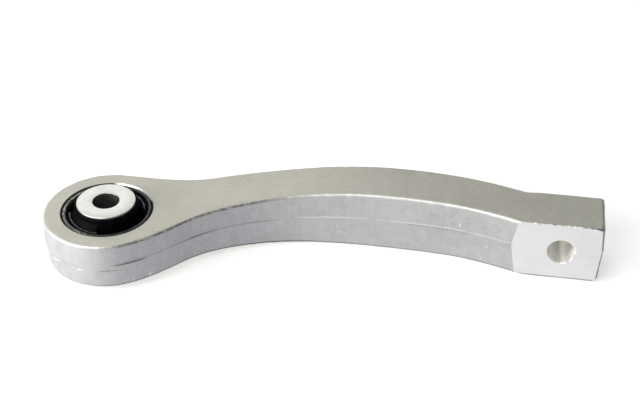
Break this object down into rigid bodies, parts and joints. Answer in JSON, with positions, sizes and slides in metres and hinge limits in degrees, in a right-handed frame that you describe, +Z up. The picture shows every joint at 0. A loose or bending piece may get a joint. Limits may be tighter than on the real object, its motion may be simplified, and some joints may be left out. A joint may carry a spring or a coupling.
{
  "type": "suspension control arm",
  "caption": "Bowed forged aluminium suspension link: bonded rubber bush pressed in the eye at one end, milled block with a cross bolt hole at the other.",
  "frame": {"origin": "middle of the overall box at the level of the inner sleeve's lower face, which the part stands on", "axes": "+X from the eye towards the bolt block, along the block's milled faces; +Z up along the bush's bolt axis; +Y towards the bowed-out side"},
  "size_m": [0.2574, 0.0816, 0.0324],
  "materials": {
    "forged_aluminium": "blasted forging skin, matte",
    "machined_aluminium": "turned",
    "coated_steel": "dark phosphate coating",
    "plate_steel": "satin sheet edge",
    "rubber": "moulded, satin"
  },
  "bodies": {
    "link": {"arm_forging": "forged_aluminium", "outer_sleeve": "coated_steel", "rubber_lining": "rubber"},
    "plates": {"front_support_plate": "plate_steel", "rear_support_plate": "plate_steel"},
    "sleeve": {"inner_sleeve": "machined_aluminium", "inner_rubber": "rubber"}
  },
  "joints": [
    {"name": "bush_tilt", "type": "hinge", "parent": "link", "child": "plates", "pos_m": [-0.09878, -0.01089, 0.01619], "axis": [0.6018, 0.7986, 0], "range_deg": [-3.5, 3.5], "stiffness_Nm_per_rad": 140},
    {"name": "bush_twist", "type": "hinge", "parent": "plates", "child": "sleeve", "pos_m": [-0.09878, -0.01089, 0.01619], "axis": [0, 0, 1], "range_deg": [-20, 20], "stiffness_Nm_per_rad": 60}
  ]
}
